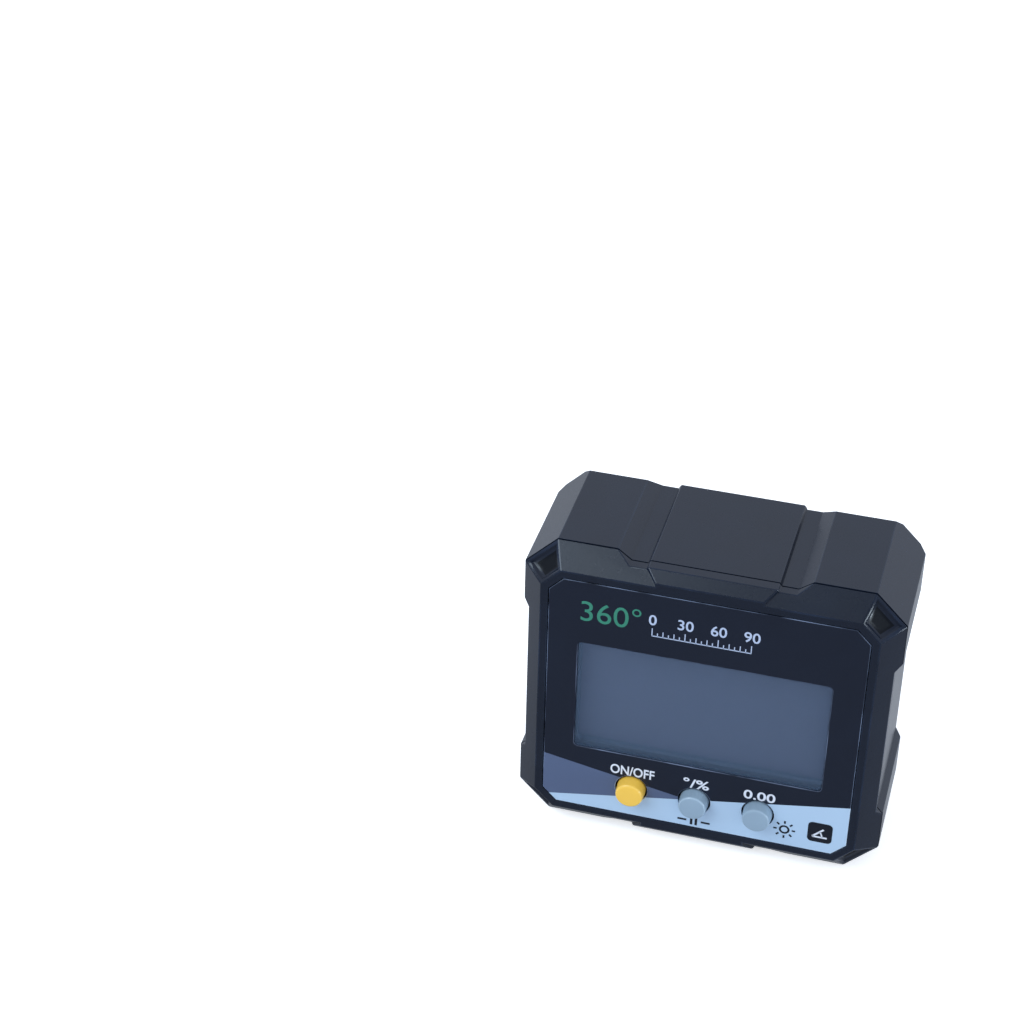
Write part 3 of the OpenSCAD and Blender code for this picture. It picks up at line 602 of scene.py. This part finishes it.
bar("pale", CORNER_X + RAISED_X, CORNER_H + RAISED_H, RAISED_ARM, STROKE_W, ANGLE)
arc("pale", CORNER_X, CORNER_H, ARC_R, ARC_W, 0, ANGLE)
# The pale sign lies on the dark tile, so it stands out by one more layer of ink.
for vert in ink["pale"].verts:
    vert.co.y -= INK * MM

# %% Print pieces
for colour, material in (("white", ink_white), ("silver", ink_silver), ("green", ink_green),
                         ("dark", ink_dark), ("pale", ink_white)):
    bmesh.ops.remove_doubles(ink[colour], verts=ink[colour].verts, dist=TINY)
    bmesh.ops.recalc_face_normals(ink[colour], faces=ink[colour].faces)
    add_piece(ink[colour], f"print_{colour}", "case", [material], smooth=30)

# %% [markdown]
# ## Window and display
# The window is a stepped pane: it fills the panel's opening and its flange hides behind it. A thin tape
# holds it on its ledge, so its back is lifted by that much: two faces in one plane would flicker.
# Behind it lies the display: a glass cell with a polariser sheet stuck on, a little smaller than the
# glass. Seen from above, the strip of bare glass under the polariser shows along the window's lower edge.

# %% Window pane
TAPE, PANE_FRONT = 0.04 * MM, 0.2 * MM
PANE_R = 0.12
pane = merged_copy("display_lens")
soften(pane, PANE_R, lambda point, edge: point.y < FACE_Y + PANE_FRONT)
for vert in pane.verts:
    if vert.co.y > lens_high.y - NEAR:
        vert.co.y -= TAPE
add_piece(pane, "display_window", "case", [window_acrylic], ["display_lens"])

# %% Display cell
SHEET_HALF_W, SHEET_LOW, SHEET_HIGH, SHEET_T = 21.6, 14.1, 35.4, 0.15
FRONTAL = 0.9


def front_faces(shape):
    """The faces of a shape that look to the front."""
    return [face for face in shape.faces if face.normal.y < -FRONTAL]


lcd_low, lcd_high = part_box("lcd_glass")
display = bmesh.new()
bmesh.ops.create_cube(display, size=1, matrix=Matrix.Translation((lcd_low + lcd_high) / 2)
                      @ Matrix.Diagonal((*(lcd_high - lcd_low), 1)))
for spot, across in ((on_face(-SHEET_HALF_W, 0), (1, 0, 0)), (on_face(SHEET_HALF_W, 0), (1, 0, 0)),
                     (on_face(0, SHEET_LOW), (0, 0, 1)), (on_face(0, SHEET_HIGH), (0, 0, 1))):
    front = front_faces(display)
    geom = front + list({e for f in front for e in f.edges}) + list({v for f in front for v in f.verts})
    bmesh.ops.bisect_plane(display, geom=geom, dist=TINY, plane_co=spot, plane_no=across)
sheet_middle = on_face(0, (SHEET_LOW + SHEET_HIGH) / 2)
sheet = min(front_faces(display), key=lambda face: (face.calc_center_median() - sheet_middle).length)
raised = bmesh.ops.extrude_face_region(display, geom=[sheet])["geom"]
bmesh.ops.translate(display, vec=(0, -SHEET_T * MM, 0),
                    verts=[v for v in raised if isinstance(v, bmesh.types.BMVert)])
bmesh.ops.delete(display, geom=[sheet], context="FACES_ONLY")
for face in raised:
    if isinstance(face, bmesh.types.BMFace):
        face.material_index = 1
add_piece(display, "display_cell", "case", [cell_glass, polariser_slate], ["lcd_glass"])

# %% [markdown]
# ## The keys
# Each key is a turned form: a slightly crowned top, a soft edge, a tapered side and a flange that keeps it
# in the cover. Its half section is worked out once, with a shallow parabola for the crown and a quarter
# circle for the edge, and is spun round the key's axis. Part of the edge is marked in the edge attribute,
# so that a thin pale rim shows: a painted highlight.

# %% Half section of a key
KEY_OUT, KEY_TOP_R, KEY_R, FLANGE_R = 2.20, 2.44, 2.57, 3.70
CROWN, KEY_EDGE = 0.07, 0.5
# Where the painted highlight round the rim starts and ends, below the top of the key.
HIGHLIGHT_START, HIGHLIGHT_END = 0.14, 0.32
FLANGE_FRONT, FLANGE_BACK, FLANGE_EDGE = 2.95, 3.85, 0.1
CROWN_R = KEY_TOP_R - KEY_EDGE
crown = [(CROWN_R * share, CROWN * share ** 2 - KEY_OUT) for share in (0, 0.35, 0.7)]
rim = [(CROWN_R + KEY_EDGE * math.sin(turn), CROWN - KEY_OUT + KEY_EDGE * (1 - math.cos(turn)))
       for turn in [math.radians(15 * step) for step in range(7)]]
flange = [(KEY_R, FLANGE_FRONT), (FLANGE_R - FLANGE_EDGE, FLANGE_FRONT),
          (FLANGE_R, FLANGE_FRONT + FLANGE_EDGE), (FLANGE_R, FLANGE_BACK), (0, FLANGE_BACK)]
KEY_SECTION = crown + rim + [(KEY_R, 0)] + flange
print("key section:", len(KEY_SECTION), "points")


# %% Keys
def turned(section, centre, axis, steps=64):
    """Spins a half section, given as radius and depth in millimetres, round an axis through centre."""
    shape = bmesh.new()
    along = Vector(axis)
    side = along.orthogonal().normalized()
    points = [shape.verts.new(centre + side * r * MM + along * d * MM) for r, d in section]
    edges = [shape.edges.new(pair) for pair in zip(points, points[1:])]
    bmesh.ops.spin(shape, geom=points + edges, cent=centre, axis=along, angle=2 * math.pi, steps=steps,
                   use_merge=True, use_duplicate=False)
    bmesh.ops.remove_doubles(shape, verts=shape.verts, dist=MERGE / 2)
    bmesh.ops.recalc_face_normals(shape, faces=shape.faces)
    return shape


for key, middle, material, slot in zip(("power", "unit", "zero"), KEYS, (key_yellow, key_grey, key_grey),
                                       ("button_yellow", "button_grey", "button_grey")):
    cap = turned(KEY_SECTION, Vector((middle.x, FACE_Y, middle.z)), (0, 1, 0))
    # The rim band of each key takes the paler edge colour: a painted highlight.
    wear_and_highlight = cap.faces.layers.float.new("edge")
    for face in cap.faces:
        depth = (face.calc_center_median().y - FACE_Y + KEY_OUT * MM) / MM
        face[wear_and_highlight] = HIGHLIGHT_START < depth < HIGHLIGHT_END
    add_piece(cap, f"{key}_key", f"{key}_button", [material], [f"{key}_button"])

# %% [markdown]
# ## Screws and magnets
# The screw heads sit deep in the back, and the magnets lie a tenth of a millimetre below the pads.
# Their CAD shapes are right, so they only get turned edges.

# %% Screws and magnets
HEAD_D, HEAD_R, MAGNET_R = 2.0 * MM, 0.12, 0.2
screws = merged_copy("case_screws")
soften(screws, HEAD_R, lambda point, edge: point.y > BACK_Y - HEAD_D, least=CRISP)
add_piece(screws, "case_screw_set", "case", [zinc_steel], ["case_screws"])
magnets = merged_copy("base_magnets")
soften(magnets, MAGNET_R, any_edge, least=CRISP)
add_piece(magnets, "base_magnet_set", "case", [nickel_bright], ["base_magnets"])

# %% [markdown]
# ## The cells
# A cell is a drawn steel can in a shrink sleeve. The sleeve turns in over both rims, and the bare ends show
# inside it. The two cells lie head to tail, so one section is spun twice, along opposite directions.

# %% Cells
CELL_R, CAN_END, CELL_END = 5.25, 43.5, 44.5
SLEEVE_IN, BAND_END = 4.05, 14.0
# The flat end with its sunk middle, the sleeve with the border of its colours, and the end with the nub.
flat_end = [(0, 0.25), (3.3, 0.25), (3.6, 0.1), (4.0, 0.1), (4.1, 0), (4.9, 0), (CELL_R - 0.1, 0.1)]
sleeve = [(CELL_R, 0.35), (CELL_R, BAND_END), (CELL_R, CAN_END - 0.4), (CELL_R - 0.1, CAN_END - 0.15)]
nub_end = [(4.9, CAN_END), (4.2, CAN_END), (4.1, CAN_END - 0.15), (2.1, CAN_END - 0.15),
           (1.95, CAN_END + 0.05), (1.9, CELL_END - 0.2), (1.7, CELL_END), (0, CELL_END)]
CELL_SECTION = flat_end + sleeve + nub_end
for node, way in (("upper_cell", 1), ("lower_cell", -1)):
    low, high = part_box(node)
    start = Vector((low.x if way > 0 else high.x, (low.y + high.y) / 2, (low.z + high.z) / 2))
    cell = turned(CELL_SECTION, start, (way, 0, 0))
    for face in cell.faces:
        middle = face.calc_center_median()
        along = abs(middle.x - start.x) / MM
        if math.hypot(middle.y - start.y, middle.z - start.z) < SLEEVE_IN * MM:
            face.material_index = 2
        elif along < BAND_END:
            face.material_index = 1
    add_piece(cell, f"{node}_can", "case", [sleeve_grey, sleeve_dark, zinc_steel], [node])

# %% [markdown]
# ## The inner parts
# The other solids are small and plain, and most are hidden. They keep their CAD shapes and get finishes.

# %% Finishes of the CAD nodes that stay
INNER = {
    guide_white: ["light_guide"], resin_clear: ["backlight_led"], board_green: ["circuit_board"],
    seal_rubber: ["upper_contact_strip", "lower_contact_strip", "housing_gasket", "door_gasket"],
    nylon_black: ["controller_chip", "tilt_sensor", "power_switch", "unit_switch", "zero_switch"],
    nylon_ivory: ["power_plunger", "unit_plunger", "zero_plunger"], zinc_steel: ["board_screws"],
    nickel_spring: ["positive_contact", "negative_contact", "bridge_contact"]}
for material, members in INNER.items():
    for node in members:
        nodes[node].data.materials.clear()
        nodes[node].data.materials.append(material)
print("inner parts finished:", sum(len(members) for members in INNER.values()))

# %% [markdown]
# ## Floor and light
# The picture is a plain studio shot on white. The floor is a pale sheet that takes the shadow. A share of
# white is added to it for the camera only, so that it reads as white without more light on the gauge.
# A real sweep of paper is bright behind the object and dim in front, where the photographer stands. Black
# plastic shows that clearly, so what mirrors see, floor and room alike, goes from dim at the front to
# bright at the back. A soft lamp hangs over the front left, and a small low one at the right picks out the
# edges of the corner pockets.

# %% Floor
WHITE_SHARE, DIM, BRIGHT = 0.6, 0.3, 0.85
DIM_Y, BRIGHT_Y, FLOOR_HALF = -0.02, 0.015, 4
floor_white, tree = bare_material("studio_floor")
paper = add_node(tree, "ShaderNodeBsdfDiffuse", {"Color": linear("#f2f3f5")})
glow = add_node(tree, "ShaderNodeEmission", {"Color": linear("#ffffff"), "Strength": WHITE_SHARE})
place = add_node(tree, "ShaderNodeTexCoord").outputs["Object"]
back = add_node(tree, "ShaderNodeSeparateXYZ", {"Vector": place}).outputs["Y"]
level = add_node(tree, "ShaderNodeMapRange", {
    "Value": back, "From Min": DIM_Y, "From Max": BRIGHT_Y,
    "To Min": DIM, "To Max": BRIGHT}).outputs["Result"]
mirrored = add_node(tree, "ShaderNodeEmission", {"Color": linear("#e4edfb"), "Strength": level})
ray = add_node(tree, "ShaderNodeLightPath").outputs
seen = add_node(tree, "ShaderNodeAddShader", {0: paper.outputs["BSDF"], 1: glow.outputs["Emission"]})
plain = add_node(tree, "ShaderNodeMixShader", {
    0: ray["Is Glossy Ray"], 1: paper.outputs["BSDF"], 2: mirrored.outputs["Emission"]})
mixed = add_node(tree, "ShaderNodeMixShader", {
    0: ray["Is Camera Ray"], 1: plain.outputs["Shader"], 2: seen.outputs["Shader"]})
add_node(tree, "ShaderNodeOutputMaterial", {"Surface": mixed.outputs["Shader"]})

ground = bmesh.new()
bmesh.ops.create_grid(ground, x_segments=1, y_segments=1, size=FLOOR_HALF)
ground_mesh = bpy.data.meshes.new("studio_floor")
ground.to_mesh(ground_mesh)
ground.free()
ground_mesh.materials.append(floor_white)
floor = bpy.data.objects.new("studio_floor", ground_mesh)
scene.collection.objects.link(floor)
print("floor laid,", 2 * FLOOR_HALF, "m wide")

# %% World
ROOM, BACKDROP = 0.92, 1.0
DIM_WAY, BRIGHT_WAY = -0.7, 0.7
world = bpy.data.worlds.new("studio")
scene.world = world
world.use_nodes = True
tree = world.node_tree
tree.nodes.clear()
way = add_node(tree, "ShaderNodeTexCoord").outputs["Generated"]
back = add_node(tree, "ShaderNodeSeparateXYZ", {"Vector": way}).outputs["Y"]
level = add_node(tree, "ShaderNodeMapRange", {
    "Value": back, "From Min": DIM_WAY, "From Max": BRIGHT_WAY,
    "To Min": DIM, "To Max": BRIGHT}).outputs["Result"]
ray = add_node(tree, "ShaderNodeLightPath").outputs
level = add_node(tree, "ShaderNodeMix", {
    "Factor": ray["Is Glossy Ray"], "A": ROOM, "B": level}).outputs["Result"]
level = add_node(tree, "ShaderNodeMix", {
    "Factor": ray["Is Camera Ray"], "A": level, "B": BACKDROP}).outputs["Result"]
colour = add_node(tree, "ShaderNodeMixRGB", {
    "Fac": ray["Is Camera Ray"], "Color1": linear("#e3ecfb"), "Color2": linear("#ffffff")}).outputs["Color"]
sky = add_node(tree, "ShaderNodeBackground", {"Color": colour, "Strength": level})
add_node(tree, "ShaderNodeOutputWorld", {"Surface": sky.outputs["Background"]})
print("world set")

# %% Lamps
AIM = Vector((0, 0, HALF_H))
COOL_WHITE = (0.75, 0.89, 1)
# Each lamp with its place and size in metres and its power in watts.
LAMPS = [("key_softbox", (-0.26, -0.24, 0.34), 0.3, 1.15), ("side_strip", (0.45, -0.07, 0.065), 0.12, 0.8)]
for name, place, size, power in LAMPS:
    lamp = bpy.data.lights.new(name, "AREA")
    lamp.shape, lamp.size, lamp.energy, lamp.color = "SQUARE", size, power, COOL_WHITE
    stand = bpy.data.objects.new(name, lamp)
    stand.location = place
    stand.rotation_euler = (AIM - Vector(place)).to_track_quat("-Z", "Y").to_euler()
    scene.collection.objects.link(stand)
scene.view_settings.view_transform = "Standard"
print("lamps hung:", len(LAMPS))
